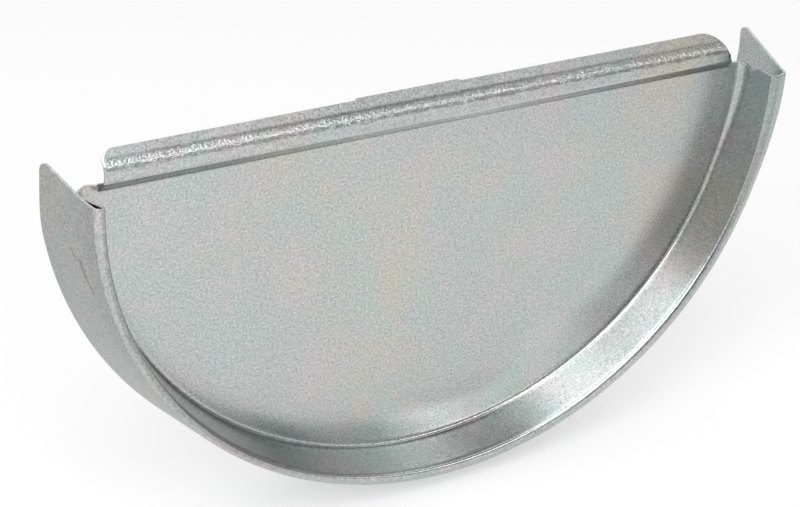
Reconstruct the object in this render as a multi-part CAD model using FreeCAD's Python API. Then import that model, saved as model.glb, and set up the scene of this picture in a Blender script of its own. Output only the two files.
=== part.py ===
# End cap for a half-round gutter, folded from one galvanised sheet.
# The rim's axis is the Y axis, the front is -Y, and the gutter arrives from +Y.
# A half disc closes the gutter. Round its edge the sheet bends forward as a wall,
# turns back in a fold and runs out behind as a skirt. The gutter's end goes into
# the groove between wall and skirt. Along the top the sheet is bent to a bead.

import FreeCAD, Part
import math
import os

Vector = FreeCAD.Vector

# The sheet
sheet = 0.6

# The half disc, out to the inner face of the wall, and the bend between them
disc_radius = 76.0
disc_bend = 0.9

# The wall, from the disc's front face to the front of the fold
wall_depth = 12.1
wall_flare = 0.05

# The fold: its outside width on the tight and the loose side, and where it changes
fold_tight = 2.4
fold_loose = 3.95
fold_tight_until = -140.0
fold_loose_from = -66.0
fold_tilt = 20.0
fold_fullness = 0.9

# The skirt: how far its outer face stands out from the disc at its back edge, and how
# far behind the disc's front face that edge lies
skirt_spread = 7.1
skirt_back = 9.2

# Where the rim is cut off at its ends: the height at the disc, at the fold and at the
# back corner of the skirt, which stands up as an ear. Behind the fold, at the depth of
# the turn, the cut starts to climb to the ear.
left_disc_top = 3.2
left_fold_top = 3.9
left_turn = 7.0
left_ear_top = 6.3
right_disc_top = 2.2
right_fold_top = 2.7
right_turn = 8.4
right_ear_top = 7.2
ear_round = 2.8

# How the cut ends have sprung: the wall's foot spreads and its bend opens on both
# sides, the fold gapes and its crest spreads on the right, and the skirt leans in on
# the left. Each reach is in degrees round the rim.
foot_spread = 2.0
foot_bend = 1.3
crest_spread = 0.6
spread_reach = 20.0
fold_mouth = 1.35
mouth_reach = 22.0
skirt_lean = 0.75
lean_reach = 10.0

# The bead: a bend forward, an upright front, a round ridge and a back that leans away
crease_height = 1.6
bead_forward = 1.6
bead_rise = 2.0
bead_front = 3.1
bead_back_lean = 38.0
bead_bend = 0.9
bead_ridge = 2.2

# The bead's outline, seen from the front: its ends stand in from the disc's edge and are
# rounded off, and its upper edge climbs to the right and has a low step
bead_left_in = 3.3
bead_left_top = 9.65
bead_left_round = 2.4
bead_right_in = 2.0
bead_right_top = 10.1
bead_right_slant = 4.7
bead_right_round = 4.5
step_left = -18.5
step_right = 5.3
step_height = 0.32
stub_left_in = 2.3
stub_height = 1.7
stub_round = 1.2

# The slits that free the bead's bend from the rim
slit = 0.4
slit_depth = 0.8

# How the loft round the axis is made: its steps, how far it runs past the cuts, the
# flat band that it keeps inside the bend, and the arcs that each bend is drawn with
rim_steps = 60
rim_spare = 1.0
seam_margin = 1.0
bend_arcs = 3

# What is worked out from these
half_sheet = sheet / 2.0
seam_radius = disc_radius - disc_bend - seam_margin
skirt_radius = disc_radius + skirt_spread
bead_left = -disc_radius + bead_left_in
bead_right = disc_radius - bead_right_in
stub_left = -disc_radius + stub_left_in
far = 2.0 * skirt_radius
tiny = 0.001


def level(height):
    """Angle round the rim at which the disc's edge is at a height above the axis."""
    return math.degrees(math.asin(height / disc_radius))


left_end = -180.0 - level(left_fold_top)
right_end = level(right_fold_top)
rim_from = -180.0 - level(max(left_disc_top, left_fold_top, left_ear_top) + rim_spare)
rim_to = level(max(right_disc_top, right_fold_top, right_ear_top) + rim_spare)

# Turns an outline drawn flat into one seen from the front, from the right or from above
front_view = FreeCAD.Rotation(Vector(1, 0, 0), 90)
side_view = FreeCAD.Rotation(Vector(1, 1, 1), 120)
top_view = FreeCAD.Rotation()


def smooth(t):
    """Runs from 0 to 1 with level ends."""
    t = min(max(t, 0.0), 1.0)
    return t * t * (3.0 - 2.0 * t)


def from_left(angle, reach):
    """1 up to the rim's left end, falling to 0 at a reach from it."""
    return smooth(1.0 - (angle - left_end) / reach)


def from_right(angle, reach):
    """1 from the rim's right end on, and 0 before a reach from it."""
    return smooth(1.0 - (right_end - angle) / reach)


def arc_edges(arc):
    """Edges that share an arc evenly, so that no one face of the rim turns far."""
    step = (arc.LastParameter - arc.FirstParameter) / bend_arcs
    stops = [arc.FirstParameter + step * i for i in range(bend_arcs + 1)]
    return [arc.toShape(a, b) for a, b in zip(stops, stops[1:])]


def bent_line(points, bends, offset=0.0):
    """Edges of a line moved aside, with each corner rounded by the bend of its middle line."""
    ways = [(b - a).normalize() for a, b in zip(points, points[1:])]
    sides = [Vector(-way.y, way.x, 0) for way in ways]
    edges = []
    start = points[0] + sides[0] * offset
    for i, bend in enumerate(bends):
        way_in, way_out = ways[i], ways[i + 1]
        bisector = (sides[i] + sides[i + 1]).normalize()
        corner = points[i + 1] + bisector * (offset / bisector.dot(sides[i]))
        if bend == 0:
            edges.append(Part.LineSegment(start, corner).toShape())
            start = corner
            continue
        half_turn = way_in.getAngle(way_out) / 2.0
        radius = bend - offset * math.copysign(1.0, way_in.cross(way_out).z)
        tangent = radius * math.tan(half_turn)
        inward = (way_out - way_in).normalize()
        middle = corner + inward * (radius / math.cos(half_turn) - radius)
        end = corner + way_out * tangent
        edges.append(Part.LineSegment(start, corner - way_in * tangent).toShape())
        edges += arc_edges(Part.Arc(corner - way_in * tangent, middle, end))
        start = end
    edges.append(Part.LineSegment(start, points[-1] + sides[-1] * offset).toShape())
    return edges


def first_point(edge):
    return edge.valueAt(edge.FirstParameter)


def last_point(edge):
    return edge.valueAt(edge.LastParameter)


def sheet_section(points, bends):
    """Closed outline of the bent sheet, from its middle line and the radius of each bend."""
    front = bent_line(points, bends, -half_sheet)
    back = bent_line(points, bends, half_sheet)
    near = Part.LineSegment(first_point(back[0]), first_point(front[0])).toShape()
    out = Part.LineSegment(last_point(front[-1]), last_point(back[-1])).toShape()
    return Part.Wire(front + [out] + back[::-1] + [near])


def slab(points, rounds, view, depth):
    """A solid of the given depth, centred on the view's plane, from a closed outline.

    The outline starts and ends at its first point, and each other corner has its round.
    """
    edges = bent_line(points + points[:1], rounds)
    face = Part.Face(Part.Wire(edges))
    face.Placement = FreeCAD.Placement(Vector(), view)
    normal = view.multVec(Vector(0, 0, 1))
    face.translate(normal * (-depth / 2.0))
    return face.extrude(normal * depth)


def fold_width(angle):
    """Outside width of the fold at an angle round the rim."""
    loose = smooth((angle - fold_tight_until) / (fold_loose_from - fold_tight_until))
    mouth = fold_mouth * from_right(angle, mouth_reach)
    return fold_tight + (fold_loose - fold_tight) * loose + mouth


def foot_sprung(angle):
    """How far the wall's foot has sprung, from 0 to 1 at the rim's ends."""
    return max(from_left(angle, spread_reach), from_right(angle, spread_reach))


def rim_points(angle):
    """Corners of the rim's middle line at an angle, from the flat disc to the skirt's edge."""
    lean = skirt_lean * from_left(angle, lean_reach)
    foot = disc_radius + foot_spread * foot_sprung(angle) + half_sheet
    crest = disc_radius + wall_flare + crest_spread * from_right(angle, spread_reach) + half_sheet
    outer = crest + fold_width(angle) - sheet
    front = half_sheet - wall_depth
    outer_front = front + (outer - crest) * math.tan(math.radians(fold_tilt))
    return [
        Vector(seam_radius, half_sheet, 0),
        Vector(foot, half_sheet, 0),
        Vector(crest, front, 0),
        Vector(outer, outer_front, 0),
        Vector(skirt_radius - lean - half_sheet, skirt_back, 0),
    ]


def rim_bends(angle, points):
    """Radius of each bend of that line: the fold's two are as full as its width allows."""
    wall_way, fold_way, skirt_way = [b - a for a, b in zip(points[1:], points[2:])]
    into = math.tan(wall_way.getAngle(fold_way) / 2.0)
    out = math.tan(fold_way.getAngle(skirt_way) / 2.0)
    fold_bend = fold_fullness * fold_way.Length / (into + out)
    return [disc_bend + half_sheet + foot_bend * foot_sprung(angle), fold_bend, fold_bend]


def make_rim():
    """Bend, wall, fold and skirt, as one loft through sections round the axis."""
    sections = []
    for i in range(rim_steps + 1):
        angle = rim_from + (rim_to - rim_from) * i / rim_steps
        points = rim_points(angle)
        section = sheet_section(points, rim_bends(angle, points))
        section.rotate(Vector(), Vector(0, 1, 0), -angle)
        sections.append(section)
    return Part.makeLoft(sections, True)


def make_disc(rim):
    """The flat half disc, drawn on the rim's own inner edge so that the two meet exactly."""
    for edge in rim.Edges:
        middle = edge.valueAt((edge.FirstParameter + edge.LastParameter) / 2.0)
        on_front = abs(middle.y) < tiny
        on_seam = abs(math.hypot(middle.x, middle.z) - seam_radius) < tiny
        if on_front and on_seam and edge.Length > seam_radius:
            seam = edge
    chord = Part.LineSegment(last_point(seam), first_point(seam)).toShape()
    return Part.Face(Part.Wire([seam, chord])).extrude(Vector(0, sheet, 0))


def make_bead():
    """The bent strip along the top, cut to its outline."""
    foot = crease_height - 2.0 * slit_depth
    front = half_sheet - bead_forward
    ridge_height = crease_height + bead_rise + bead_front
    top = max(bead_left_top, bead_right_top) + step_height + sheet
    lean = math.tan(math.radians(bead_back_lean))
    middle_line = [
        Vector(half_sheet, foot, 0),
        Vector(half_sheet, crease_height, 0),
        Vector(front, crease_height + bead_rise, 0),
        Vector(front, ridge_height, 0),
        Vector(front + (top - ridge_height) * lean, top, 0),
    ]
    section = Part.Face(sheet_section(middle_line, [bead_bend, bead_bend, bead_ridge]))
    section.Placement = FreeCAD.Placement(Vector(stub_left, 0, 0), side_view)
    strip = section.extrude(Vector(bead_right - stub_left, 0, 0))

    def top_edge(x):
        along = (x - bead_left) / (bead_right - bead_left)
        return bead_left_top + (bead_right_top - bead_left_top) * along

    slant_start = bead_right - bead_right_slant
    outline = [
        Vector(0, foot, 0),
        Vector(bead_right, foot, 0),
        Vector(bead_right, right_disc_top, 0),
        Vector(slant_start, top_edge(slant_start), 0),
        Vector(step_right, top_edge(step_right), 0),
        Vector(step_right, top_edge(step_right) + step_height, 0),
        Vector(step_left, top_edge(step_left) + step_height, 0),
        Vector(step_left, top_edge(step_left), 0),
        Vector(bead_left, bead_left_top, 0),
        Vector(bead_left, crease_height + stub_height, 0),
        Vector(stub_left, crease_height + stub_height, 0),
        Vector(stub_left, foot, 0),
    ]
    rounds = [0, 0, bead_right_round, 0, 0, 0, 0, bead_left_round, stub_round, 0, 0]
    return strip.common(slab(outline, rounds, front_view, far))


def across(start, end, depth):
    """Distance from the axis at a depth, on the straight line through two of those corners."""
    return start.x + (end.x - start.x) * (depth - start.y) / (end.y - start.y)


def make_end_cuts(side, angle, disc_top, fold_top, turn, ear_top):
    """What comes off above one end of the rim: over the disc and wall, and over the ear."""
    foot, crest, outer, skirt_edge = rim_points(angle)[1:]

    def gap_middle(depth):
        return (across(foot, crest, depth) + across(outer, skirt_edge, depth)) / 2.0

    behind_disc = sheet * 2.0
    above_wall = [
        Vector(behind_disc, far, 0),
        Vector(behind_disc, disc_top, 0),
        Vector(0, disc_top, 0),
        Vector(-turn, fold_top, 0),
        Vector(-far, fold_top, 0),
        Vector(-far, far, 0),
    ]
    before_gap = [
        Vector(0, -far, 0),
        Vector(side * far, -far, 0),
        Vector(side * far, -turn, 0),
        Vector(side * gap_middle(-turn), -turn, 0),
        Vector(side * gap_middle(behind_disc), behind_disc, 0),
        Vector(0, behind_disc, 0),
    ]
    wall_cut = slab(above_wall, [0] * 5, side_view, 2.0 * far)
    wall_cut = wall_cut.common(slab(before_gap, [0] * 5, top_view, 2.0 * far))
    above_ear = [
        Vector(-far, far, 0),
        Vector(-far, fold_top, 0),
        Vector(-turn, fold_top, 0),
        Vector(skirt_back, ear_top, 0),
        Vector(skirt_back, -far, 0),
        Vector(far, -far, 0),
        Vector(far, far, 0),
    ]
    ear_cut = slab(above_ear, [0, 0, ear_round, 0, 0, 0], side_view, far)
    ear_cut.translate(Vector(side * (seam_radius + far / 2.0), 0, 0))
    return [wall_cut, ear_cut]


def make_notch():
    """The opening along the disc's top edge, where the bead takes over, with its two slits."""
    left = stub_left - slit
    width = bead_right + slit - left
    return Part.makeBox(width, far, far, Vector(left, -far / 2.0, crease_height - slit_depth))


def make_end_cap():
    """The whole folded sheet as one solid."""
    rim = make_rim()
    cuts = [make_notch()]
    cuts += make_end_cuts(-1, left_end, left_disc_top, left_fold_top, left_turn, left_ear_top)
    cuts += make_end_cuts(1, right_end, right_disc_top, right_fold_top, right_turn, right_ear_top)
    blank = rim.fuse(make_disc(rim)).cut(cuts)
    return blank.fuse(make_bead()).removeSplitter()


end_cap = make_end_cap()
print("solids", len(end_cap.Solids), "valid", end_cap.isValid(), "volume", round(end_cap.Volume, 1))
os.makedirs("parts", exist_ok=True)
end_cap.exportStep("parts/end_cap.step")
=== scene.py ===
"""A half-round gutter's end cap, folded from one galvanised sheet, on a pale studio floor."""

import math

import bmesh
import bpy
import numpy as np
from bpy.props import FloatProperty, FloatVectorProperty, IntProperty, PointerProperty
from bpy.types import Operator, Panel, PropertyGroup
from mathutils import Matrix, Vector


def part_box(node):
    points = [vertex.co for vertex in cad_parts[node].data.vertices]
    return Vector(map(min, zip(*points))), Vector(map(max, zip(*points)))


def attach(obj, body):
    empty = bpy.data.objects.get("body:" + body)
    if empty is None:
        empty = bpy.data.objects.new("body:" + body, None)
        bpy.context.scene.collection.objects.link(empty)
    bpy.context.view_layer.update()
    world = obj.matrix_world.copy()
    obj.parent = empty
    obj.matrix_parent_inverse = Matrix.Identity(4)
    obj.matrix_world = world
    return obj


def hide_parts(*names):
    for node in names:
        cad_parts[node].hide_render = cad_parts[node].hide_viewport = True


bl_info = {
    "name": "Gutter end cap",
    "version": (1, 0, 0),
    "blender": (4, 5, 0),
    "location": "View3D > Sidebar > End cap",
    "description": "Builds a galvanised end cap for a half-round gutter and its studio",
    "category": "Add Mesh",
}

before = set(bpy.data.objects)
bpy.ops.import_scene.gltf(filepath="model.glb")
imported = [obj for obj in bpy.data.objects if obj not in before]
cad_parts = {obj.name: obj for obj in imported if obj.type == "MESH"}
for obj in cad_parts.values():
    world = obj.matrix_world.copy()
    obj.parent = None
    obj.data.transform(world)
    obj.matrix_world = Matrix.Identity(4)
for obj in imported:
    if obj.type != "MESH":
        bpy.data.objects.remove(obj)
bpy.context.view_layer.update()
MM = 0.001
# nearer than this, a point lies on the flat disc
TINY = 0.001 * MM
# nearer than this, two points are one
WELD = 0.0005 * MM
# what is noted at each point of the sheet for its material
MARKS = ("worked_and_shaded", "hammered", "painted_shade")


def length(label, description, millimetres):
    """A property for a size or place, given here in millimetres."""
    return FloatProperty(
        name=label, description=description, default=millimetres * MM, unit="LENGTH", precision=5
    )


def turn(label, description, degrees):
    """A property for an angle, given here in degrees."""
    return FloatProperty(
        name=label, description=description, default=math.radians(degrees), subtype="ANGLE"
    )


def share(label, description, value, highest=1.0):
    """A property for a plain number from 0."""
    return FloatProperty(name=label, description=description, default=value, min=0.0, max=highest)


def count(label, description, value):
    """A property for a number of rows or columns."""
    return IntProperty(name=label, description=description, default=value, min=1)


def colour(label, description, *rgb):
    """A property for a colour, given as red, green and blue."""
    return FloatVectorProperty(
        name=label, description=description, default=rgb, subtype="COLOR", min=0.0, max=1.0
    )


class RimSizes(PropertyGroup):
    """The half disc and the folded rim round it."""

    sheet: length("Sheet", "Thickness of the sheet", 0.6)
    edge_round: length("Edge round", "Rounding of the sheet's cut edges", 0.11)
    disc_radius: length("Disc radius", "Half disc, out to the inner face of the wall", 76.0)
    disc_bend: length("Disc bend", "Inner radius of the bend between disc and wall", 0.9)
    wall_depth: length("Wall depth", "From the disc's front face to the front of the fold", 12.1)
    wall_flare: length("Wall flare", "How far the wall leans out to its crest", 0.05)
    fold_tight: length("Fold, tight", "Outside width of the fold on the left", 2.4)
    fold_loose: length("Fold, loose", "Outside width of the fold on the right", 3.95)
    fold_tight_until: turn("Tight until", "Angle round the rim where the fold starts to open", -140.0)
    fold_loose_from: turn("Loose from", "Angle round the rim where the fold is open", -66.0)
    fold_tilt: turn("Fold tilt", "Lean of the fold's front", 20.0)
    crest_bend: length("Crest bend", "Middle radius of the bend at the wall's crest", 0.75)
    fold_bend: length("Fold bend", "Largest middle radius of the fold's outer bend", 1.6)
    fold_fullness: share("Fold fullness", "How much of the fold's width its bends take up", 0.9)
    skirt_spread: length("Skirt spread", "How far the skirt's back edge stands out from the disc", 7.1)
    skirt_back: length("Skirt back", "Depth of the skirt's back edge behind the disc's front face", 9.2)
    crest_lean: length("Crest lean", "How much further out the crest stands, within the fold", 0.3)
    foot_in: length("Foot in", "How much further in the wall's foot stands", 0.1)
    seam_in: length("Seam in", "How far inside its bend the rim's mesh meets the flat disc", 1.0)


class EndSizes(PropertyGroup):
    """The cut ends of the rim, and how they have sprung."""

    left_disc_top: length("Left disc top", "Height of the left cut at the disc", 3.2)
    left_fold_top: length("Left fold top", "Height of the left cut at the fold", 3.9)
    left_turn: length("Left turn", "Depth where the left cut starts to climb to the ear", 7.0)
    left_ear_top: length("Left ear top", "Height of the left ear", 6.3)
    left_drop: length("Left drop", "How much lower the left cut is where the wall starts", 0.5)
    drop_reach: length("Drop reach", "Width over which the left cut drops", 2.0)
    left_bulge: length("Left bulge", "How far the wall's middle bulges out at the left end", 1.0)
    bulge_top: share("Bulge top", "Share of the wall's depth over which it bulges", 0.93)
    bulge_reach: turn("Bulge reach", "How far round the rim the wall bulges", 24.0)
    right_disc_top: length("Right disc top", "Height of the right cut at the disc", 2.2)
    right_fold_top: length("Right fold top", "Height of the right cut at the fold", 2.7)
    right_turn: length("Right turn", "Depth where the right cut starts to climb to the ear", 8.4)
    right_ear_top: length("Right ear top", "Height of the right ear", 7.2)
    ear_round: length("Ear round", "Rounding of the ears' corners", 2.8)
    foot_spread: length("Foot spread", "How far the wall's foot has sprung at both ends", 2.0)
    left_foot: length("Left foot", "How much further the wall's foot has sprung on the left", 0.5)
    left_crest_bend: length("Left crest bend", "How much tighter the crest's bend is on the left", 0.3)
    right_crest_bend: length("Right crest bend", "How much wider the crest's bend is on the right", 0.5)
    crest_reach: turn("Crest reach", "How far round the rim the crest's bend is wider", 45.0)
    right_lean: length("Right lean", "How far the right ear leans out", 0.9)
    right_dip: length("Right dip", "How far the right cut dips behind the fold", 1.5)
    dip_depth: length("Dip depth", "How far in front of the disc's face the dip lies", 3.2)
    dip_reach: length("Dip reach", "How far the dip reaches to either side", 3.0)
    foot_bend: length("Foot bend", "How much the wall's bend has opened at both ends", 1.3)
    crest_spread: length("Crest spread", "How far the wall's crest has sprung on the right", 0.6)
    spread_reach: turn("Spread reach", "How far round the rim the wall has sprung", 20.0)
    fold_mouth: length("Fold mouth", "How far the fold gapes on the right", 1.35)
    mouth_reach: turn("Mouth reach", "How far round the rim the fold gapes", 22.0)
    skirt_lean: length("Skirt lean", "How far the skirt leans in on the left", 0.75)
    lean_reach: turn("Lean reach", "How far round the rim the skirt leans in", 10.0)


class BeadSizes(PropertyGroup):
    """The bead along the top edge."""

    foot: length("Foot", "Height where the flat disc ends below the bead", 0.6)
    crease: length("Crease", "Height of the first bend", 1.6)
    forward: length("Forward", "How far the bead comes forward", 1.6)
    rise: length("Rise", "Height of the slope that brings it forward", 2.0)
    front: length("Front", "Height of the upright front", 3.1)
    back_lean: turn("Back lean", "Lean of the bead's back next to its ridge", 44.0)
    back_rise: length("Back rise", "Height over which the back leans that much", 1.3)
    edge_lean: turn("Edge lean", "Lean of the bead's back towards its upper edge", 34.5)
    back_bend: length("Back bend", "Middle radius between the two leans", 3.0)
    crease_bend: length("Crease bend", "Middle radius of the bend at the crease", 0.45)
    bend: length("Bend", "Middle radius of the bend below the upright front", 0.9)
    ridge: length("Ridge", "Middle radius of the bead's ridge", 2.2)
    left_in: length("Left in", "How far the left end stands in from the disc's edge", 3.3)
    left_top: length("Left top", "Height of the upper edge at the left end", 9.65)
    left_round: length("Left round", "Rounding of the left end's upper corner", 2.4)
    left_foot_round: length("Left foot round", "Rounding where the left end meets the shoulder", 1.2)
    right_in: length("Right in", "How far the right end's foot stands in from the disc's edge", 1.4)
    right_top: length("Right top", "Height of the upper edge at the right end", 10.1)
    right_slant: length("Right slant", "How far the right end slants in to its top", 5.3)
    right_round: length("Right round", "Width of the rounding at the right end's top", 3.6)
    right_round_height: length("Right round height", "Height of that rounding", 2.9)
    step_left: length("Step left", "Left end of the low step in the upper edge", -18.5)
    step_right: length("Step right", "Right end of the low step", 5.3)
    step_height: length("Step height", "Height of the low step", 0.32)
    step_left_width: length("Step left width", "Width of the step's slope on the left", 0.4)
    step_right_width: length("Step right width", "Width of the step's slope on the right", 1.2)
    fade_in: length("Fade in", "Where the left run-out ends, in from the bead's left end", 0.2)
    fade_left: length("Fade left", "How far the bead's bends run out into the left shoulder", 3.4)
    fade_right: length("Fade right", "How far the bead's bends run out on the right", 1.7)


class ZoneSizes(PropertyGroup):
    """Where on the sheet the zinc is bent or beaten, and where painted shade darkens it: in the crease, in
    the disc's corner and, in part, on the bent zinc.
    """

    # the bent zinc placed by these depths and heights is also darkened, partly as painted shade
    wall_from: length("Wall from", "Depth behind the disc's face where the worked zinc starts", 0.6)
    wall_blend: length("Wall blend", "Depth over which the wall's worked zinc comes in", 1.0)
    skirt_from: length("Skirt from", "Depth in front of the disc's face where the skirt's starts", 3.63)
    skirt_blend: length("Skirt blend", "Depth over which the skirt's worked zinc comes in", 4.0)
    skirt_share: share("Skirt share", "How worked the skirt's front is, against the wall", 0.3)
    slope_core: length("Slope core", "Height from the middle of the bead's slope, all worked", 0.55)
    slope_reach: length("Slope reach", "Height from there where the worked zinc has faded out", 1.65)
    ridge_core: length("Ridge core", "Height from the bead's ridge that is all beaten", 0.6)
    ridge_reach: length("Ridge reach", "Height from there where the beaten zinc has faded out", 1.35)
    # painted shade: a dark line painted along the bead's crease, where shade falls
    crease_above: length("Crease above", "Height of the dirt above the bead's first bend", 0.2)
    crease_core: length("Crease core", "Height from there that is all shaded", 0.15)
    crease_reach: length("Crease reach", "Height from there where the dirt has faded out", 0.45)
    # painted shade: darkening painted on the disc next to the wall's foot, where shade falls
    corner_depth: length("Corner depth", "Depth of the dirt in front of the disc's face", 1.0)
    corner_core: length("Corner core", "Depth from there that is all shaded", 0.2)
    corner_reach: length("Corner reach", "Depth from there where the dirt has faded out", 0.6)
    corner_share: share("Corner share", "How shaded the disc's corner is, against the crease", 0.6)


class MeshCounts(PropertyGroup):
    """How finely the sheet is divided."""

    columns: count("Columns", "Columns round the rim and along the bead", 300)
    disc_rows: count("Disc rows", "Rows of the flat half disc", 26)
    arc_rows: count("Arc rows", "Rows across each bend of the rim", 8)
    flat_rows: count("Flat rows", "Rows across the wall, and half of those across the skirt", 12)
    short_rows: count("Short rows", "Rows across the rim's seam and the fold's front", 2)
    bead_arc_rows: count("Bead arc rows", "Rows across each bend of the bead's section", 12)
    foot_rows: count("Foot rows", "Rows of the bead's foot, beside the rim", 14)
    front_rows: count("Front rows", "Rows from the bead's foot to its back", 32)
    back_rows: count("Back rows", "Rows of the bead's back", 10)


# rows across the flats of the bead's section: its foot, slope, front and lower back
BEAD_FLAT_ROWS = (12, 8, 12, 4)


class ZincFinish(PropertyGroup):
    """Colours, roughness and relief of the galvanised surface."""

    zinc: colour("Zinc", "Main colour of the zinc", 0.555, 0.575, 0.565)
    cool: colour("Cool patches", "Bluish-green patches", 0.528, 0.595, 0.578)
    rose: colour("Rose patches", "Pinkish patches", 0.612, 0.578, 0.592)
    warm: colour("Warm patches", "Beige patches", 0.615, 0.588, 0.512)
    patch_strength: share("Patch strength", "How strong the pinkish and beige patches are", 0.8)
    cool_scale: share("Cool scale", "How many bluish-green patches lie along a metre", 42.0, 400.0)
    rose_scale: share("Rose scale", "How many pinkish patches lie along a metre", 60.0, 400.0)
    warm_scale: share("Warm scale", "How many beige patches lie along a metre", 28.0, 400.0)
    cloud_scale: share("Cloud scale", "How many faint clouds lie along a metre", 55.0, 400.0)
    grain_size: length("Grain size", "Size of the zinc's fine speckle", 0.5)
    coarseness: share("Coarseness", "Size of the fine speckle, against the coarse one", 0.3)
    grain_contrast: share("Grain contrast", "How much the fine speckle changes the lightness", 1.0)
    coarse_contrast: share("Coarse contrast", "How much the coarse speckle changes it", 0.16)
    cloud_contrast: share("Cloud contrast", "How much the clouds change it", 0.08)
    roughness: share("Roughness", "Roughness of the flat sheet", 0.28)
    cloud_roughness: share("Cloud roughness", "How much the clouds change the roughness", 0.1)
    grain_roughness: share("Grain roughness", "How much the fine speckle changes the roughness", 0.06)
    worked_roughness: share("Worked roughness", "Roughness where the sheet was bent", 0.20)
    # partly painted shade: the darkening of the bent wall, the bead's slope and the skirt's front
    worked_and_shaded_grey: share("Worked and shaded grey", "How much darker the zinc is where the sheet was bent", 0.30)
    darker_left_from: length("Darker left from", "Where bent zinc starts to darken towards the left end", -20.0)
    darker_left_to: length("Darker left to", "Where it is darkest on the left", -48.0)
    darker_right_from: length("Darker right from", "Where it starts to darken towards the right end", 40.0)
    darker_right_to: length("Darker right to", "Where it is darkest on the right", 68.0)
    # painted shade: how far the inner corners and the bead's crease are darkened
    painted_shade: share("Painted shade", "How dark the dirt is that lies in the sheet's inner corners", 0.3)
    scratched: share("Scratches", "How dark the scratches on the skirt are", 0.42)
    grain_depth: length("Grain depth", "Depth of the zinc's fine relief", 0.0007)
    coarse_relief: share("Coarse relief", "Depth of the coarse relief, against the fine one", 1.5, 10.0)
    hammered_roughness: share("Hammered roughness", "Roughness along the bead's ridge", 0.33)
    hammered_relief: share("Hammered relief", "How much deeper the ridge's relief is", 190.0, 400.0)


class StudioSettings(PropertyGroup):
    """Camera, floor and lamps."""

    eye: FloatVectorProperty(
        name="Camera place", description="Where the camera stands", subtype="TRANSLATION", unit="LENGTH",
        default=(-173.4985 * MM, -310.3691 * MM, 166.6466 * MM),
    )
    azimuth: turn("Azimuth", "Compass angle of the camera round the part", -28.0597)
    elevation: turn("Elevation", "Angle of the camera above the horizon", 28.8565)
    roll: turn("Roll", "Tilt of the camera about its own axis", 1.5395)
    lens: FloatProperty(
        name="Lens", description="Focal length of the camera", default=85.022, unit="CAMERA"
    )
    floor_size: length("Floor size", "How far the floor reaches to each side", 3000.0)
    floor_colour: colour("Floor", "Colour of the studio floor", 0.86, 0.86, 0.86)
    floor_white: share("Floor white", "How far the floor that the camera sees is faded to white", 0.5)
    world_strength: share("World strength", "Strength of the soft light from all round", 0.68, 4.0)
    middle: length("Middle", "Height of the point that the lamps and cards are set round", -40.0)
    lamp_distance: length("Lamp distance", "How far from there the soft boxes stand", 1000.0)
    card_distance: length("Card distance", "How far from there the curved cards stand", 970.0)


def smooth(t):
    """Runs from 0 to 1 with level ends."""
    t = np.clip(t, 0.0, 1.0)
    return t * t * (3.0 - 2.0 * t)


def band(distance, core, reach):
    """1 within the core's distance, fading to 0 at the reach."""
    return smooth((reach - abs(distance)) / (reach - core))


def rounding(t):
    """How far a round corner has drawn in, from 0 at its start to 1 at its end."""
    return 1.0 - np.sqrt(1.0 - np.clip(t, 0.0, 1.0) ** 2)


def easing(steps):
    """Shares from 0 to 1 that lie closer together towards 1."""
    return np.sin(math.pi / 2.0 * np.arange(steps + 1) / steps)


def bent_profile(points, bends, flat_rows, arc_rows):
    """Points along a line with rounded corners. Each corner may be a number or an array.

    points are (across, along) pairs, bends the radius at each inner corner. flat_rows
    gives the rows of each straight stretch, and arc_rows those of each bend.
    """
    corners = [np.stack(np.broadcast_arrays(*point), axis=-1).astype(float) for point in points]
    corners = [np.atleast_2d(corner) for corner in np.broadcast_arrays(*corners)]
    rows = []
    start = corners[0]
    for i, bend in enumerate(bends):
        way_in = corners[i + 1] - corners[i]
        way_out = corners[i + 2] - corners[i + 1]
        way_in /= np.linalg.norm(way_in, axis=-1, keepdims=True)
        way_out /= np.linalg.norm(way_out, axis=-1, keepdims=True)
        cross = way_in[:, 0] * way_out[:, 1] - way_in[:, 1] * way_out[:, 0]
        angle = np.arccos(np.clip((way_in * way_out).sum(-1), -1.0, 1.0))[:, None]
        side = np.stack([-way_in[:, 1], way_in[:, 0]], axis=-1) * np.sign(cross)[:, None]
        radius = np.broadcast_to(np.asarray(bend, float).reshape(-1, 1), angle.shape)
        into = corners[i + 1] - way_in * radius * np.tan(angle / 2.0)
        for k in range(flat_rows[i]):
            rows.append(start + (into - start) * k / flat_rows[i])
        for k in range(arc_rows):
            part = angle * k / arc_rows
            rows.append(into + way_in * radius * np.sin(part) + side * radius * (1.0 - np.cos(part)))
        start = corners[i + 1] + way_out * radius * np.tan(angle / 2.0)
    return rows, start, corners[-1]


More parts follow.
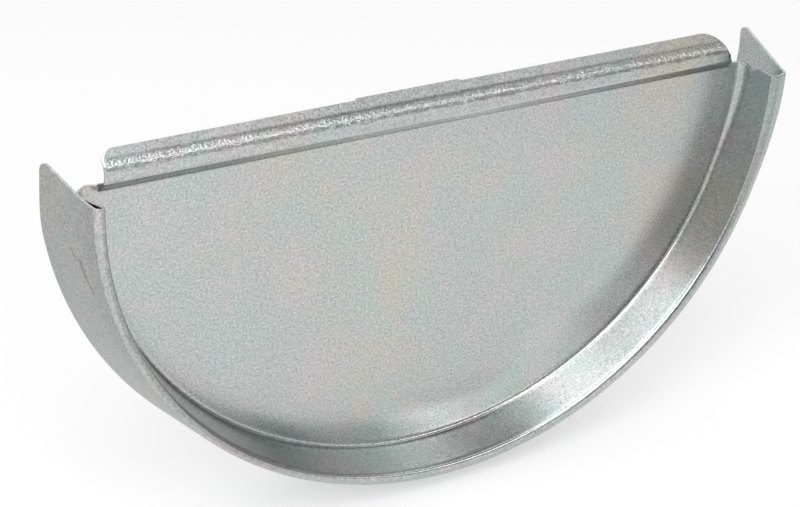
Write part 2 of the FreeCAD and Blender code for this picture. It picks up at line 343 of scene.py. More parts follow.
class Sheet:
    """Works out where each point of the folded sheet lies, on its middle surface."""

    def __init__(self, scene):
        self.rim = scene.cap_rim
        self.ends = scene.cap_ends
        self.bead = scene.cap_bead
        self.zones = scene.cap_zones
        self.counts = scene.cap_mesh
        self.half = self.rim.sheet / 2.0
        self.seam = self.rim.disc_radius - self.rim.disc_bend - self.rim.seam_in
        self.left_end = -math.pi - math.asin(self.ends.left_fold_top / self.rim.disc_radius)
        self.right_end = math.asin(self.ends.right_fold_top / self.rim.disc_radius)
        self.shape_bead()
        self.lay_out_seam()

    def from_left(self, angle, reach):
        """1 at the rim's left end, fading to 0 at the reach."""
        return smooth(1.0 - (angle - self.left_end) / reach)

    def from_right(self, angle, reach):
        """1 at the rim's right end, fading to 0 at the reach."""
        return smooth(1.0 - (self.right_end - angle) / reach)

    def lay_out_seam(self):
        """Sets the heights where the bead's foot meets the rim, and the angles of the rim's columns."""
        heights = np.linspace(self.bead.foot, self.ends.left_disc_top, self.counts.foot_rows)
        self.foot_heights = heights
        self.left_rows = len(heights) - 1
        self.right_rows = int(np.argmin(abs(heights - self.ends.right_disc_top)))
        left = -math.pi - np.arcsin(heights[::-1] / self.seam)
        right = np.arcsin(heights[: self.right_rows + 1] / self.seam)
        round_rim = np.linspace(left[-1], right[0], self.counts.columns + 1)
        self.seam_angle = np.concatenate([left[:-1], round_rim, right[1:]])

    def rim_outline(self, angle):
        """Corners of the rim's section as (radius, depth), and its bends, at an array of angles."""
        rim, ends, half = self.rim, self.ends, self.half
        left = self.from_left(angle, ends.spread_reach)
        right = self.from_right(angle, ends.spread_reach)
        sprung = np.maximum(left, right)
        # the wall's foot and crest, and the fold that is tight on the left and loose on the right
        foot = rim.disc_radius + half - rim.foot_in + ends.foot_spread * sprung + ends.left_foot * left
        loose = smooth((angle - rim.fold_tight_until) / (rim.fold_loose_from - rim.fold_tight_until))
        width = rim.fold_tight + (rim.fold_loose - rim.fold_tight) * loose
        width = width + ends.fold_mouth * self.from_right(angle, ends.mouth_reach)
        inner = rim.disc_radius + rim.wall_flare + half + ends.crest_spread * right
        outer = inner + width - rim.sheet
        crest = inner + rim.crest_lean * (1.0 - left)
        front = half - rim.wall_depth
        outer_front = front + (outer - crest) * math.tan(rim.fold_tilt)
        # the skirt's edge, which leans in on the left and out on the right
        lean = ends.skirt_lean * self.from_left(angle, ends.lean_reach)
        lean = lean - ends.right_lean * self.from_right(angle, ends.lean_reach)
        edge = rim.disc_radius + rim.skirt_spread - lean - half
        # the fold's outer bend takes what the crest's bend leaves of the fold
        fold = np.hypot(outer - crest, outer_front - front)
        wall_way = np.arctan2(crest - foot, rim.wall_depth)
        skirt_way = np.arctan2(edge - outer, rim.skirt_back - outer_front)
        into = np.tan((math.pi / 2.0 + rim.fold_tilt - wall_way) / 2.0)
        out = np.tan((math.pi / 2.0 - rim.fold_tilt - skirt_way) / 2.0)
        crest_bend = rim.crest_bend - ends.left_crest_bend * self.from_left(angle, ends.bulge_reach)
        crest_bend = crest_bend + ends.right_crest_bend * self.from_right(angle, ends.crest_reach)
        fold_bend = np.clip((rim.fold_fullness * fold - into * crest_bend) / out, half, rim.fold_bend)
        corners = [(self.seam, half), (foot, half), (crest, front), (outer, outer_front)]
        corners.append((edge, rim.skirt_back))
        return corners, [rim.disc_bend + half + ends.foot_bend * sprung, crest_bend, fold_bend]

    def rim_profile(self, angle):
        """Rows of the rim's section, one array of (radius, depth) per row, at an array of angles."""
        corners, bends = self.rim_outline(angle)
        counts, ends = self.counts, self.ends
        flats = [counts.short_rows, counts.flat_rows, counts.short_rows]
        rows, start, end = bent_profile(corners, bends, flats, counts.arc_rows)
        # the wall's middle bulges out towards the left end
        bulge = ends.left_bulge * self.from_left(angle, ends.bulge_reach)
        for row in rows[: counts.short_rows + counts.flat_rows + 2 * counts.arc_rows]:
            up_wall = np.clip((self.half - row[:, 1]) / self.rim.wall_depth, 0.0, 1.0)
            row[:, 0] += bulge * np.sin(math.pi * np.minimum(up_wall / ends.bulge_top, 1.0))
        return rows + [start + (end - start) * step for step in easing(2 * counts.flat_rows)]

    def cut_height(self, depth, inside, disc_top, fold_top, turn_depth, ear_top):
        """Height of the rim's cut end at a depth, inside the fold or outside it."""
        if inside:
            return disc_top + (fold_top - disc_top) * np.clip(-depth / turn_depth, 0.0, 1.0)
        back, ear_round = self.rim.skirt_back, self.ends.ear_round
        climb = np.clip((depth + turn_depth) / (back + turn_depth), 0.0, 1.0)
        corner = rounding((depth - back) / ear_round + 1.0)
        return fold_top + (ear_top - fold_top) * climb - ear_round * corner

    def left_cut(self, radius, depth, inside):
        """Angle above level at which a row of the rim is cut on the left."""
        ends = self.ends
        tops = (ends.left_disc_top, ends.left_fold_top, ends.left_turn, ends.left_ear_top)
        height = self.cut_height(depth, inside, *tops)
        if inside:
            outward = smooth((radius - self.rim.disc_radius) / ends.drop_reach)
            height -= ends.left_drop * outward * (1.0 - np.clip(-depth / ends.left_turn, 0.0, 1.0))
        return math.asin(height / radius)

    def right_cut(self, radius, depth, inside):
        """Angle above level at which a row of the rim is cut on the right."""
        ends = self.ends
        tops = (ends.right_disc_top, ends.right_fold_top, ends.right_turn, ends.right_ear_top)
        height = self.cut_height(depth, inside, *tops)
        if inside:
            height -= ends.right_dip * smooth(1.0 - abs(depth + ends.dip_depth) / ends.dip_reach)
        return math.asin(height / radius)

    def rim_row(self, k, angle):
        """Points of one row of the rim. On the left shoulder the bead's foot carries them along."""
        radius, depth = self.rim_profile(angle)[k].T
        x = radius * np.cos(angle)
        z = radius * np.sin(angle)
        flat = (abs(depth - self.half) < TINY) & (x < 0.0) & (z > 0.0)
        raised_depth, raised_height = self.raise_bead(x, z)
        depth = np.where(flat, raised_depth, depth)
        return np.stack([x, depth, np.where(flat, raised_height, z)], axis=-1)

    def rim_rows(self):
        """Rows of the rim's points, cut off at both ends, and the marks of each row."""
        sections = self.rim_profile(self.seam_angle)
        share_round = (self.seam_angle - self.seam_angle[0]) / np.ptp(self.seam_angle)
        crest_row = int(np.argmin([section[0, 1] for section in sections]))
        rows = [self.rim_row(0, self.seam_angle)]
        for k, section in enumerate(sections[1:], 1):
            left = self.left_cut(*section[0], k <= crest_row)
            right = self.right_cut(*section[-1], k <= crest_row)
            rows.append(self.rim_row(k, -math.pi - left + share_round * (math.pi + left + right)))
        depths = np.array([section[len(section) // 2, 1] for section in sections])
        return rows, self.rim_marks(depths, np.arange(len(sections)) > crest_row)

    def rim_marks(self, depths, skirt):
        """The marks of the rim at the depth of each row: its bent zinc, partly darkened as painted shade,
        and the painted shade in the disc's corner.
        """
        zones = self.zones
        # the bent zinc of the wall and the skirt's front is darkened, partly as painted shade
        on_wall = smooth((zones.wall_from - depths) / zones.wall_blend)
        on_skirt = smooth((-zones.skirt_from - depths) / zones.skirt_blend)
        # painted shade on the disc next to the wall's foot
        in_corner = band(depths + zones.corner_depth, zones.corner_core, zones.corner_reach)
        worked_and_shaded = np.where(skirt, zones.skirt_share * on_skirt, on_wall)
        return {"worked_and_shaded": worked_and_shaded, "painted_shade": np.where(skirt, 0.0, zones.corner_share * in_corner)}

    def shape_bead(self):
        """Works out the line of the bead's section, and how far along the sheet its points lie."""
        bead = self.bead
        top = max(bead.left_top, bead.right_top) + 2.0 * bead.step_height
        slope_top = bead.crease + bead.rise
        ridge = slope_top + bead.front
        lean_ends = ridge + bead.back_rise
        front = self.half - bead.forward
        back = front + bead.back_rise * math.tan(bead.back_lean)
        corners = [(self.half, 0.0), (self.half, bead.crease), (front, slope_top), (front, ridge)]
        corners += [(back, lean_ends), (back + (top - lean_ends) * math.tan(bead.edge_lean), top)]
        bends = [bead.crease_bend, bead.bend, bead.ridge, bead.back_bend]
        rows, start, end = bent_profile(corners, bends, BEAD_FLAT_ROWS, self.counts.bead_arc_rows)
        self.bead_line = np.array([row[0] for row in [*rows, start, end]])
        steps = np.linalg.norm(np.diff(self.bead_line, axis=0), axis=1)
        self.bead_along = np.concatenate([[0.0], np.cumsum(steps)])

    def along_at_height(self, height):
        """How far along the bead's section a height is reached."""
        return np.interp(height, self.bead_line[:, 1], self.bead_along)

    def height_at_along(self, along):
        """The height reached so far along the bead's section."""
        return np.interp(along, self.bead_along, self.bead_line[:, 1])

    def raise_bead(self, x, along):
        """Depth and height of points of the flat sheet once the bead is bent, fading at its ends."""
        bead = self.bead
        left = -self.rim.disc_radius + bead.left_in + bead.fade_in
        weight = smooth((x - left) / bead.fade_left + 1.0) * smooth((self.seam - x) / bead.fade_right)
        depth = np.interp(along, self.bead_along, self.bead_line[:, 0])
        height = self.height_at_along(along)
        return self.half + (depth - self.half) * weight, along + (height - along) * weight

    def bead_top(self, x):
        """Height of the bead's upper edge."""
        bead = self.bead
        left = -self.rim.disc_radius + bead.left_in
        right = self.rim.disc_radius - bead.right_in
        height = bead.left_top + (bead.right_top - bead.left_top) * (x - left) / (right - left)
        step = smooth((x - bead.step_left) / bead.step_left_width + 0.5)
        step = step * smooth((bead.step_right - x) / bead.step_right_width + 0.5)
        return height + bead.step_height * step

    def bead_left(self, height):
        """Where the bead's left end lies at a height."""
        bead = self.bead
        straight = -self.rim.disc_radius + bead.left_in
        upper = rounding((height - bead.left_top) / bead.left_round + 1.0)
        lower = rounding((self.ends.left_disc_top - height) / bead.left_foot_round + 1.0)
        return straight + bead.left_round * upper - bead.left_foot_round * lower

    def bead_right(self, height):
        """Where the bead's right end lies at a height."""
        bead = self.bead
        base = self.ends.right_disc_top
        slope = bead.right_slant / (bead.right_top - base)
        straight = self.rim.disc_radius - bead.right_in - slope * (height - base)
        upper = rounding((height - bead.right_top) / bead.right_round_height + 1.0)
        return straight - bead.right_round * upper

    def spread(self, left, right):
        """Places from left to right for the points of one row of the bead."""
        return left + (right - left) * np.linspace(0.0, 1.0, self.counts.columns + 1)

    def bead_row(self, x, along):
        """Points of one row of the bead, so far along the sheet."""
        return np.stack([x, *self.raise_bead(x, along)], axis=-1)

    def bead_rows(self):
        """Rows of the bead's points, from its foot to its upper edge, and the marks of each row."""
        bead, counts = self.bead, self.counts
        back_from = self.bead_along[-2]
        front = np.linspace(self.foot_heights[-1], back_from, counts.front_rows)[1:]
        rows = []
        for k, along in enumerate([*self.foot_heights, *front]):
            height = self.height_at_along(along)
            seam = math.sqrt(self.seam**2 - along**2)
            left = -seam if k <= self.left_rows else self.bead_left(height)
            right = seam if k <= self.right_rows else self.bead_right(height)
            rows.append(self.bead_row(self.spread(left, right), along))
        # the back's rows spread evenly up to the upper edge, which rises to the right
        top = self.along_at_height(bead.left_top)
        for step in easing(counts.back_rows)[1:]:
            height = self.height_at_along(back_from + (top - back_from) * step)
            left = self.bead_left(height)
            right = self.bead_right(height + (bead.right_top - bead.left_top) * step)
            x = self.spread(left, right)
            edge = self.along_at_height(self.bead_top(x))
            rows.append(self.bead_row(x, back_from + (edge - back_from) * step))
        return rows, self.bead_marks(np.array([row[counts.columns // 2, 2] for row in rows]))

    def bead_marks(self, heights):
        """The marks of the bead at the height of each row: its bent and beaten zinc, and the painted shade
        in its crease.
        """
        bead, zones = self.bead, self.zones
        slope = bead.crease + bead.rise / 2.0
        ridge = bead.crease + bead.rise + bead.front
        # the painted shade line lies just above the crease
        shading = bead.crease + zones.crease_above
        return {
            # the slope's bent zinc is darkened, partly as painted shade
            "worked_and_shaded": band(heights - slope, zones.slope_core, zones.slope_reach),
            "hammered": band(heights - ridge, zones.ridge_core, zones.ridge_reach),
            "painted_shade": band(heights - shading, zones.crease_core, zones.crease_reach),
        }

    def disc_rows(self, foot, edge):
        """Rows of the flat half disc's points, from the bead's foot out to the rim."""
        level = edge * (1.0, 0.0, 1.0) + (0.0, self.half, 0.0)
        return [foot + (level - foot) * step for step in easing(self.counts.disc_rows)[1:-1]]


class Surface:
    """Gathers grids of points, their marks and the faces between them."""

    def __init__(self):
        self.points = []
        self.faces = []
        self.marks = {name: [] for name in MARKS}

    def add(self, rows, given):
        """Adds a grid of points, whose marks are given for each row, and numbers the points."""
        grid = np.array(rows)
        shape = grid.shape[:2]
        first = sum(len(block) for block in self.points)
        self.points.append(grid.reshape(-1, 3))
        for name in MARKS:
            values = np.reshape(given.get(name, 0.0), (-1, 1))
            self.marks[name].append(np.broadcast_to(values, shape).ravel())
        return first + np.arange(shape[0] * shape[1]).reshape(shape)

    def join(self, grid):
        """Adds the faces between the neighbouring points of a grid of their numbers."""
        corners = [grid[:-1, :-1], grid[1:, :-1], grid[1:, 1:], grid[:-1, 1:]]
        self.faces.append(np.stack(corners, axis=-1).reshape(-1, 4))


def sheet_surface(sheet):
    """The folded sheet's middle surface: the rim, the bead, and the flat half disc between them."""
    surface = Surface()
    columns, left_rows, right_rows = sheet.counts.columns, sheet.left_rows, sheet.right_rows
    rim_rows, rim_marks = sheet.rim_rows()
    rim = surface.add(rim_rows, rim_marks)
    surface.join(rim)
    # the bead's foot shares its end points with the rim
    bead_rows, bead_marks = sheet.bead_rows()
    bead = surface.add(bead_rows, bead_marks)
    for k in range(left_rows + 1):
        bead[k, 0] = rim[0, left_rows - k]
    for k in range(right_rows + 1):
        bead[k, -1] = rim[0, left_rows + columns + k]
    surface.join(bead[::-1])
    # the half disc hangs between the bead's lowest row and the rim's inner edge
    round_disc = slice(left_rows, left_rows + columns + 1)
    disc = surface.add(sheet.disc_rows(bead_rows[0], rim_rows[0][round_disc]), {})
    surface.join(np.vstack([bead[:1], disc, rim[:1, round_disc]]))
    return surface


def surface_mesh(surface):
    """A mesh of the surface's points that faces use, joined where they meet."""
    points = np.concatenate(surface.points)
    faces = np.concatenate(surface.faces)
    used = np.zeros(len(points), bool)
    used[faces.ravel()] = True
    numbers = np.cumsum(used) - 1
    mesh = bpy.data.meshes.new("end_cap_sheet")
    mesh.from_pydata(points[used].tolist(), [], numbers[faces].tolist())
    for name, values in surface.marks.items():
        attribute = mesh.attributes.new(name, "FLOAT", "POINT")
        attribute.data.foreach_set("value", np.concatenate(values)[used])
    joined = bmesh.new()
    joined.from_mesh(mesh)
    bmesh.ops.remove_doubles(joined, verts=joined.verts, dist=WELD)
    joined.to_mesh(mesh)
    joined.free()
    mesh.polygons.foreach_set("use_smooth", np.ones(len(mesh.polygons), bool))
    return mesh


def build_sheet(scene):
    """Makes the sheet's object, thickened, with slightly rounded edges."""
    sheet = Sheet(scene)
    piece = bpy.data.objects.new("end_cap_sheet", surface_mesh(sheet_surface(sheet)))
    scene.collection.objects.link(piece)
    thick = piece.modifiers.new("Sheet thickness", "SOLIDIFY")
    thick.thickness = sheet.rim.sheet
    thick.offset = 0.0
    thick.use_even_offset = True
    bevel = piece.modifiers.new("Cut edges", "BEVEL")
    bevel.width = sheet.rim.edge_round
    bevel.segments = 2
    bevel.limit_method = "ANGLE"
    bevel.angle_limit = math.radians(60.0)
    return piece


class Shade:
    """A socket in a material's nodes. Sums, products and the like of it add Math nodes."""

    def __init__(self, tree, socket=None):
        self.tree = tree
        self.socket = socket

    def node(self, kind, settings=None, inputs=None, output=0):
        """Adds any other node: its settings first, then the values or links of its sockets."""
        made = self.tree.nodes.new(kind)
        for name, value in (settings or {}).items():
            setattr(made, name, value)
        for name, value in (inputs or {}).items():
            if isinstance(value, Shade):
                self.tree.links.new(value.socket, made.inputs[name])
            else:
                made.inputs[name].default_value = value
        return Shade(self.tree, made.outputs[output] if made.outputs else None)

    def maths(self, operation, left, right):
        """A Math node of two values."""
        return self.node("ShaderNodeMath", {"operation": operation}, {0: left, 1: right})

    def vectors(self, operation, inputs, output="Vector"):
        """A Vector Math node."""
        return self.node("ShaderNodeVectorMath", {"operation": operation}, inputs, output)

    def __add__(self, other):
        return self.maths("ADD", self, other)

    def __radd__(self, other):
        return self.maths("ADD", other, self)

    def __sub__(self, other):
        return self.maths("SUBTRACT", self, other)

    def __rsub__(self, other):
        return self.maths("SUBTRACT", other, self)

    def __mul__(self, other):
        return self.maths("MULTIPLY", self, other)

    def __rmul__(self, other):
        return self.maths("MULTIPLY", other, self)


def start_nodes(owner):
    """Clears the nodes of a material or a world, and gives what its shader maths starts from."""
    owner.use_nodes = True
    owner.node_tree.nodes.clear()
    return Shade(owner.node_tree)


def noise(shade, place, scale, detail, roughness, distortion=0.0):
    """A noise texture's value, from 0 to 1 and about a half in the mean."""
    return shade.node(
        "ShaderNodeTexNoise", {},
        {
            "Vector": place, "Scale": scale, "Detail": detail,
            "Roughness": roughness, "Distortion": distortion,
        },
    )


def between(shade, value, low, high):
    """Stretches a value so that it runs from 0 at low to 1 at high, and no further."""
    return shade.node(
        "ShaderNodeMapRange", {"clamp": True}, {"Value": value, "From Min": low, "From Max": high}
    )


def mix_colours(shade, factor, first, second):
    """A Mix node of two colours. Its colour sockets have no names of their own, only places."""
    first_socket, second_socket, result_socket = 6, 7, 2
    inputs = {"Factor": factor, first_socket: first, second_socket: second}
    return shade.node("ShaderNodeMix", {"data_type": "RGBA"}, inputs, result_socket)


def mark(shade, name):
    """What was noted at each point of the sheet."""
    return shade.node("ShaderNodeAttribute", {"attribute_name": name}, output="Fac")


def opaque(rgb):
    """A colour with its alpha."""
    return (*rgb, 1.0)


# depth and height of both ends, then the width, all in millimetres
SCRATCHES = (
    (-1.35, -8.42, -2.74, -10.60, 0.30),
    (-4.10, -10.11, -4.96, -13.67, 0.75),
    (-4.96, -13.67, -6.43, -16.69, 0.48),
)
# share of a scratch's width that is all dark
SCRATCH_CORE = 0.3
# places across the part between which the scratches come in, so that only the skirt has them
SCRATCHED_FROM = -76.6 * MM
SCRATCHED_TO = -77.0 * MM


def scratch(shade, place, start, end, width):
    """1 on a thin line between two places on the skirt's left side, 0 away from it."""
    along = end - start
    level = shade.vectors("MULTIPLY", {0: place, 1: (0.0, 1.0, 1.0)})
    offset = shade.vectors("SUBTRACT", {0: level, 1: start})
    passed = shade.vectors("DOT_PRODUCT", {0: offset, 1: along / along.length_squared}, "Value")
    nearest = shade.vectors("SCALE", {0: along, "Scale": between(shade, passed, 0.0, 1.0)})
    away = shade.vectors("DISTANCE", {0: offset, 1: nearest}, "Value")
    return between(shade, away, width, width * SCRATCH_CORE)


def scratches(shade, place, across):
    """1 on every scratch of the skirt's left side."""
    found = 0.0
    for start_y, start_z, end_y, end_z, width in SCRATCHES:
        start = Vector((0.0, start_y, start_z)) * MM
        end = Vector((0.0, end_y, end_z)) * MM
        found = shade.maths("MAXIMUM", found, scratch(shade, place, start, end, width * MM))
    return found * between(shade, across, SCRATCHED_FROM, SCRATCHED_TO)


def patches(shade, place, finish):
    """The zinc's colour, with faint patches a few millimetres to a few centimetres wide."""
    cool = noise(shade, place, finish.cool_scale, detail=4.0, roughness=0.65, distortion=0.4)
    rose = noise(shade, place, finish.rose_scale, detail=4.0, roughness=0.65, distortion=0.4)
    warm = noise(shade, place, finish.warm_scale, detail=3.0, roughness=0.6, distortion=0.5)
    cool = between(shade, cool, low=0.42, high=0.62)
    rose = between(shade, rose, low=0.45, high=0.65) * finish.patch_strength
    warm = between(shade, warm, low=0.52, high=0.72) * finish.patch_strength
    tint = mix_colours(shade, cool, opaque(finish.zinc), opaque(finish.cool))
    tint = mix_colours(shade, rose, tint, opaque(finish.rose))
    return mix_colours(shade, warm, tint, opaque(finish.warm))


def zinc_material(finish):
    """Dull galvanised steel: fine speckle, faint patches, and smoother zinc at the bends."""
    material = bpy.data.materials.new("galvanised_sheet")
    shade = start_nodes(material)
    place = shade.node("ShaderNodeTexCoord", output="Object")
    across = shade.node("ShaderNodeSeparateXYZ", {}, {0: place}, "X")
    worked_and_shaded, hammered, painted_shade = [mark(shade, name) for name in MARKS]
    # fine speckle, coarse speckle and clouds, each from -0.5 to 0.5
    fine_scale = 1.0 / finish.grain_size
    grain = noise(shade, place, fine_scale, detail=1.0, roughness=0.5) - 0.5
    coarse = noise(shade, place, fine_scale * finish.coarseness, detail=2.0, roughness=0.6) - 0.5
    clouds = noise(shade, place, finish.cloud_scale, detail=4.0, roughness=0.6) - 0.5
    # the bent zinc is darkened more towards the rim's two ends: partly darker bent zinc, partly painted
    # shade
    darker_left = between(shade, across, finish.darker_left_from, finish.darker_left_to)
    darker_right = between(shade, across, finish.darker_right_from, finish.darker_right_to)
    level = 1.0 + grain * finish.grain_contrast
    level = level + coarse * finish.coarse_contrast + clouds * finish.cloud_contrast
    # darkens the bent zinc, partly as painted shade where the wall, slope and fold lie in shade
    level = level * (1.0 - worked_and_shaded * (darker_left + darker_right) * finish.worked_and_shaded_grey)
    # painted shade in the disc's corner and along the bead's crease
    level = level * (1.0 - painted_shade * finish.painted_shade)
    level = level * (1.0 - scratches(shade, place, across) * finish.scratched)
    base = shade.vectors("SCALE", {0: patches(shade, place, finish), "Scale": level})
    roughness = clouds * finish.cloud_roughness + grain * finish.grain_roughness + finish.roughness
    roughness = roughness + worked_and_shaded * (finish.worked_roughness - finish.roughness)
    roughness = roughness + hammered * (finish.hammered_roughness - finish.roughness)
    relief = (grain + coarse * finish.coarse_relief) * (1.0 + hammered * (finish.hammered_relief - 1.0))
    normal = shade.node(
        "ShaderNodeBump", {}, {"Strength": 1.0, "Distance": finish.grain_depth, "Height": relief}
    )
    surface = shade.node(
        "ShaderNodeBsdfPrincipled", {},
        {"Base Color": base, "Roughness": roughness, "Normal": normal, "Metallic": 1.0},
    )
    shade.node("ShaderNodeOutputMaterial", {}, {"Surface": surface})
    return material


class CAP_OT_sheet(Operator):
    """Builds the folded sheet with its galvanised finish"""

    bl_idname = "cap.sheet"
    bl_label = "Folded sheet"

    def execute(self, context):
        piece = build_sheet(context.scene)
        piece.data.materials.append(zinc_material(context.scene.cap_finish))
        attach(piece, "root")
        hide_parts("end_cap")
        return {"FINISHED"}


# name, azimuth and elevation in degrees, width and height in metres, lightness
SOFT_BOXES = (
    ("left_box", -54.0, 42.0, 0.48, 0.57, 4.1),
    ("middle_box", -18.0, 59.0, 0.33, 0.46, 3.6),
    ("right_box", 18.0, 31.0, 0.53, 0.18, 2.9),
)
# name, azimuths of the left and right edge, elevations of the lower and upper one, lightness
CARDS = (
    ("front_card", -36.0, 33.0, -4.0, 26.0, 0.30),
    ("corner_card", 33.0, 48.0, -4.0, 4.5, 0.03),
    ("right_card", 48.0, 100.0, -4.0, 46.0, 0.35),
    ("high_card", 12.0, 56.0, 36.0, 72.0, 0.12),
    ("left_card", -136.0, -84.0, -4.0, 58.0, 0.10),
)
# name, azimuths of both ends, distances of the near and far edge in metres, lightness
FLOOR_CARDS = (
    ("floor_card", 6.0, 100.0, 0.35, 0.97, 0.03),
    # painted shadow: a grey card on the floor behind the part, where its shadow falls, seen only in the
    # metal's reflections
    ("back_floor_shadow_card", -210.0, -96.0, 0.04, 0.60, 0.65),
)
# how many stretches a card's curve is divided into
CARD_STEPS = 12
FLOOR_CARD_STEPS = 24
# how far the cards stay above the floor
CARD_GAP = 1.0 * MM
WHITE = (1.0, 1.0, 1.0, 1.0)
SENSOR_WIDTH_MM = 36.0
CLIP_START = 10.0 * MM


def toward(studio, azimuth, elevation, away):
    """A place seen from the studio's middle at two angles in degrees and a distance."""
    way = math.radians(azimuth)
    up = math.radians(elevation)
    flat = math.cos(up) * away
    return Vector((math.sin(way) * flat, -math.cos(way) * flat, math.sin(up) * away + studio.middle))


def add_lamp(scene, studio, name, azimuth, elevation, width, height, lightness):
    """A soft box aimed at the studio's middle."""
    lamp = bpy.data.lights.new(name, "AREA")
    lamp.shape = "RECTANGLE"
    lamp.size = width
    lamp.size_y = height
    lamp.energy = lightness * math.pi * width * height
    holder = bpy.data.objects.new(name, lamp)
    holder.location = toward(studio, azimuth, elevation, studio.lamp_distance)
    inward = Vector((0.0, 0.0, studio.middle)) - holder.location
    holder.rotation_euler = inward.to_track_quat("-Z", "Y").to_euler()
    scene.collection.objects.link(holder)


def add_panel(scene, name, corners, faces, material):
    """One mesh of the studio."""
    mesh = bpy.data.meshes.new(name)
    mesh.from_pydata(corners, [], faces)
    mesh.materials.append(material)
    panel = bpy.data.objects.new(name, mesh)
    scene.collection.objects.link(panel)
    return panel


def build_floor(scene, studio, height):
    """A pale floor under the part, which the camera sees as nearly white."""
    material = bpy.data.materials.new("studio_floor")
    shade = start_nodes(material)
    camera = shade.node("ShaderNodeLightPath", output="Is Camera Ray")
    pale = mix_colours(shade, camera, opaque(studio.floor_colour), WHITE)
    lit = shade.node("ShaderNodeBsdfDiffuse", {}, {"Color": pale})
    plain = shade.node("ShaderNodeEmission", {}, {"Color": WHITE, "Strength": 1.0})
    surface = shade.node("ShaderNodeMixShader", {}, {0: camera * studio.floor_white, 1: lit, 2: plain})
    shade.node("ShaderNodeOutputMaterial", {}, {"Surface": surface})
    size = studio.floor_size
    corners = [(-size, -size, height), (size, -size, height), (size, size, height), (-size, size, height)]
    add_panel(scene, "studio_floor", corners, [(0, 1, 2, 3)], material)


def add_grey_panel(scene, name, corners, faces, grey):
    """A plain grey panel that only the metal's reflections show."""
    material = bpy.data.materials.new(name)
    shade = start_nodes(material)
    plain = opaque((grey, grey, grey))
    surface = shade.node("ShaderNodeEmission", {}, {"Color": plain, "Strength": 1.0})
    shade.node("ShaderNodeOutputMaterial", {}, {"Surface": surface})
    panel = add_panel(scene, name, corners, faces, material)
    panel.visible_camera = False
    panel.visible_diffuse = False
    panel.visible_shadow = False
    panel.visible_transmission = False


def grid_faces(rows, columns):
    """Faces of a grid of points that are listed row by row."""
    starts = [j * (columns + 1) + i for j in range(rows) for i in range(columns)]
    return [(k, k + 1, k + columns + 2, k + columns + 1) for k in starts]


def add_card(scene, studio, floor_height, name, left, right, low, high, grey):
    """A curved card between two azimuths and two elevations."""
    corners = []
    for elevation in np.linspace(low, high, CARD_STEPS + 1):
        for azimuth in np.linspace(left, right, CARD_STEPS + 1):
            place = toward(studio, azimuth, elevation, studio.card_distance)
            place.z = max(place.z, floor_height + CARD_GAP)
            corners.append(tuple(place))
    add_grey_panel(scene, name, corners, grid_faces(CARD_STEPS, CARD_STEPS), grey)


def add_floor_card(scene, studio, floor_height, name, left, right, near, far, grey):
    """A flat card on the floor between two azimuths and two distances."""
    corners = []
    for azimuth in np.linspace(left, right, FLOOR_CARD_STEPS + 1):
        for away in (near, far):
            place = toward(studio, azimuth, 0.0, away)
            corners.append((place.x, place.y, floor_height + CARD_GAP))
    add_grey_panel(scene, name, corners, grid_faces(FLOOR_CARD_STEPS, 1), grey)


def build_world(scene, studio):
    """A white background, and a soft light from all round."""
    world = bpy.data.worlds.new("studio_world")
    scene.world = world
    shade = start_nodes(world)
    camera = shade.node("ShaderNodeLightPath", output="Is Camera Ray")
    glossy = shade.node("ShaderNodeLightPath", output="Is Glossy Ray")
    through = shade.node("ShaderNodeLightPath", output="Is Transmission Ray")
    seen = shade.maths("MINIMUM", camera + glossy + through, 1.0)
    strength = seen + (1.0 - seen) * studio.world_strength
    surface = shade.node("ShaderNodeBackground", {}, {"Color": WHITE, "Strength": strength})
    shade.node("ShaderNodeOutputWorld", {}, {"Surface": surface})


def build_camera(scene, studio):
    """The camera at the photograph's viewing angle."""
    camera = bpy.data.cameras.new("studio_camera")
    camera.lens = studio.lens
    camera.sensor_width = SENSOR_WIDTH_MM
    camera.sensor_fit = "HORIZONTAL"
    camera.clip_start = CLIP_START
    holder = bpy.data.objects.new("studio_camera", camera)
    turn_round = Matrix.Rotation(studio.azimuth, 4, "Z")
    tip = Matrix.Rotation(math.pi / 2.0 - studio.elevation, 4, "X")
    roll = Matrix.Rotation(studio.roll, 4, "Z")
    holder.matrix_world = Matrix.Translation(Vector(studio.eye)) @ turn_round @ tip @ roll
    scene.collection.objects.link(holder)
    scene.camera = holder


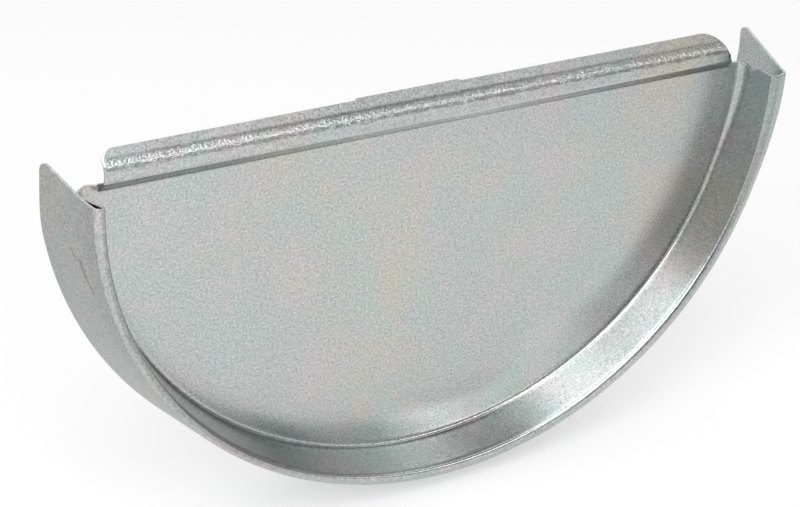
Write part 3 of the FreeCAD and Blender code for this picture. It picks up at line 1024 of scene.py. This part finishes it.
class CAP_OT_studio(Operator):
    """Builds the floor, the lamps, the background and the camera"""

    bl_idname = "cap.studio"
    bl_label = "Studio"

    def execute(self, context):
        scene = context.scene
        studio = scene.cap_studio
        floor_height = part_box("end_cap")[0].z
        build_floor(scene, studio, floor_height)
        build_world(scene, studio)
        for card in CARDS:
            add_card(scene, studio, floor_height, *card)
        for card in FLOOR_CARDS:
            add_floor_card(scene, studio, floor_height, *card)
        for soft_box in SOFT_BOXES:
            add_lamp(scene, studio, *soft_box)
        build_camera(scene, studio)
        scene.view_settings.view_transform = "Standard"
        return {"FINISHED"}


class CAP_PT_sidebar(Panel):
    """Lists the part's sizes, its finish, the studio and the operators that build them"""

    bl_idname = "CAP_PT_sidebar"
    bl_label = "Gutter end cap"
    bl_space_type = "VIEW_3D"
    bl_region_type = "UI"
    bl_category = "End cap"

    def draw(self, context):
        for name, _ in GROUPS:
            group = getattr(context.scene, name)
            box = self.layout.box()
            box.label(text=type(group).__doc__)
            for key in group.__annotations__:
                box.prop(group, key)
        for operator in OPERATORS:
            self.layout.operator(operator.bl_idname)


GROUPS = (
    ("cap_rim", RimSizes),
    ("cap_ends", EndSizes),
    ("cap_bead", BeadSizes),
    ("cap_zones", ZoneSizes),
    ("cap_mesh", MeshCounts),
    ("cap_finish", ZincFinish),
    ("cap_studio", StudioSettings),
)
OPERATORS = (CAP_OT_sheet, CAP_OT_studio)


def register():
    """Registers the groups of sizes, the operators and the panel."""
    for name, group in GROUPS:
        bpy.utils.register_class(group)
        setattr(bpy.types.Scene, name, PointerProperty(type=group))
    for operator in OPERATORS:
        bpy.utils.register_class(operator)
    bpy.utils.register_class(CAP_PT_sidebar)


def unregister():
    """Takes them out again."""
    bpy.utils.unregister_class(CAP_PT_sidebar)
    for operator in reversed(OPERATORS):
        bpy.utils.unregister_class(operator)
    for name, group in reversed(GROUPS):
        delattr(bpy.types.Scene, name)
        bpy.utils.unregister_class(group)


def main():
    """Registers the add-on, and builds the part and its studio."""
    register()
    bpy.ops.cap.sheet()
    bpy.ops.cap.studio()


if __name__ == "__main__":
    main()
